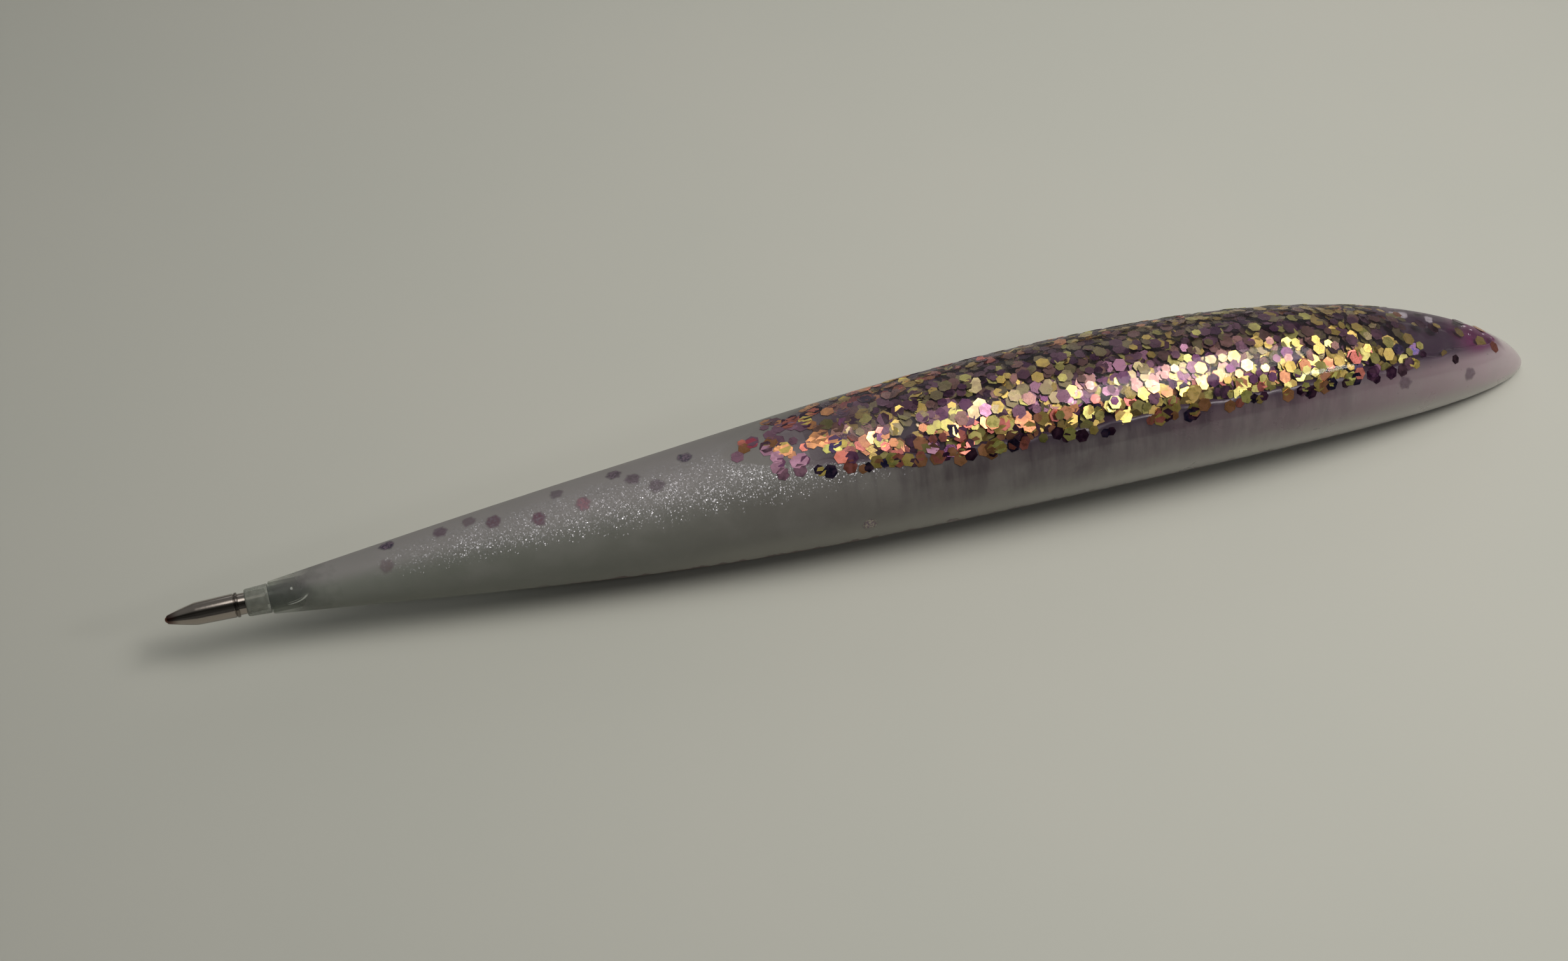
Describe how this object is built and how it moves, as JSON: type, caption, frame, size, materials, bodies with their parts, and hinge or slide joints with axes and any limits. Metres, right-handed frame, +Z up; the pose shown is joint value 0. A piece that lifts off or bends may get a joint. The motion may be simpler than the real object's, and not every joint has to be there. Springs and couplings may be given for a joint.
{
  "type": "gel pen",
  "caption": "Slim refill pen with a tapered two-colour cast resin barrel, glitter set in its top, flat underside and a bare metal nib.",
  "frame": {"origin": "middle of the pen's length, on the flat that it lies on", "axes": "+X along the barrel towards the tail, the writing point at -X; +Z up from the flat; +Y to the pen's left as seen from the tail"},
  "size_m": [0.149, 0.0166, 0.0161],
  "materials": {
    "pearl_resin": "milky pearl resin, satin, with fine mica",
    "glitter_resin": "clear purple resin packed with hexagon glitter, glossy",
    "glitter_flake": "metallised iridescent film",
    "clear_plastic": "clear moulded polypropylene",
    "nib_metal": "turned nickel silver, smooth",
    "ball_metal": "polished carbide ball wetted with ink",
    "ink": "dark water-based gel",
    "grease": "clear follower grease"
  },
  "bodies": {
    "barrel": {"pearl_casting": "pearl_resin", "glitter_casting": "glitter_resin", "stray_flake_01": "glitter_flake", "stray_flake_02": "glitter_flake", "stray_flake_03": "glitter_flake", "stray_flake_04": "glitter_flake", "stray_flake_05": "glitter_flake", "stray_flake_06": "glitter_flake", "stray_flake_07": "glitter_flake", "stray_flake_08": "glitter_flake", "stray_flake_09": "glitter_flake", "stray_flake_10": "glitter_flake", "stray_flake_11": "glitter_flake", "stray_flake_12": "glitter_flake", "stray_flake_13": "glitter_flake", "stray_flake_14": "glitter_flake", "stray_flake_15": "glitter_flake", "stray_flake_16": "glitter_flake"},
    "refill": {"ink_tube": "clear_plastic", "tip_holder": "clear_plastic", "nib_housing": "nib_metal", "gel_ink": "ink"},
    "ball": {"writing_ball": "ball_metal"},
    "follower": {"follower_grease": "grease"}
  },
  "joints": [
    {"name": "refill_slide", "type": "slide", "parent": "barrel", "child": "refill", "axis": [-1, 0, 0], "range_m": [0, 0.103]},
    {"name": "ball_roll", "type": "hinge", "parent": "refill", "child": "ball", "pos_m": [-0.07415, 0, 0.0062], "axis": [0, 1, 0], "continuous": true},
    {"name": "follower_slide", "type": "slide", "parent": "refill", "child": "follower", "axis": [-1, 0, 0], "range_m": [0, 0.071], "deforming": ["gel_ink"]}
  ]
}
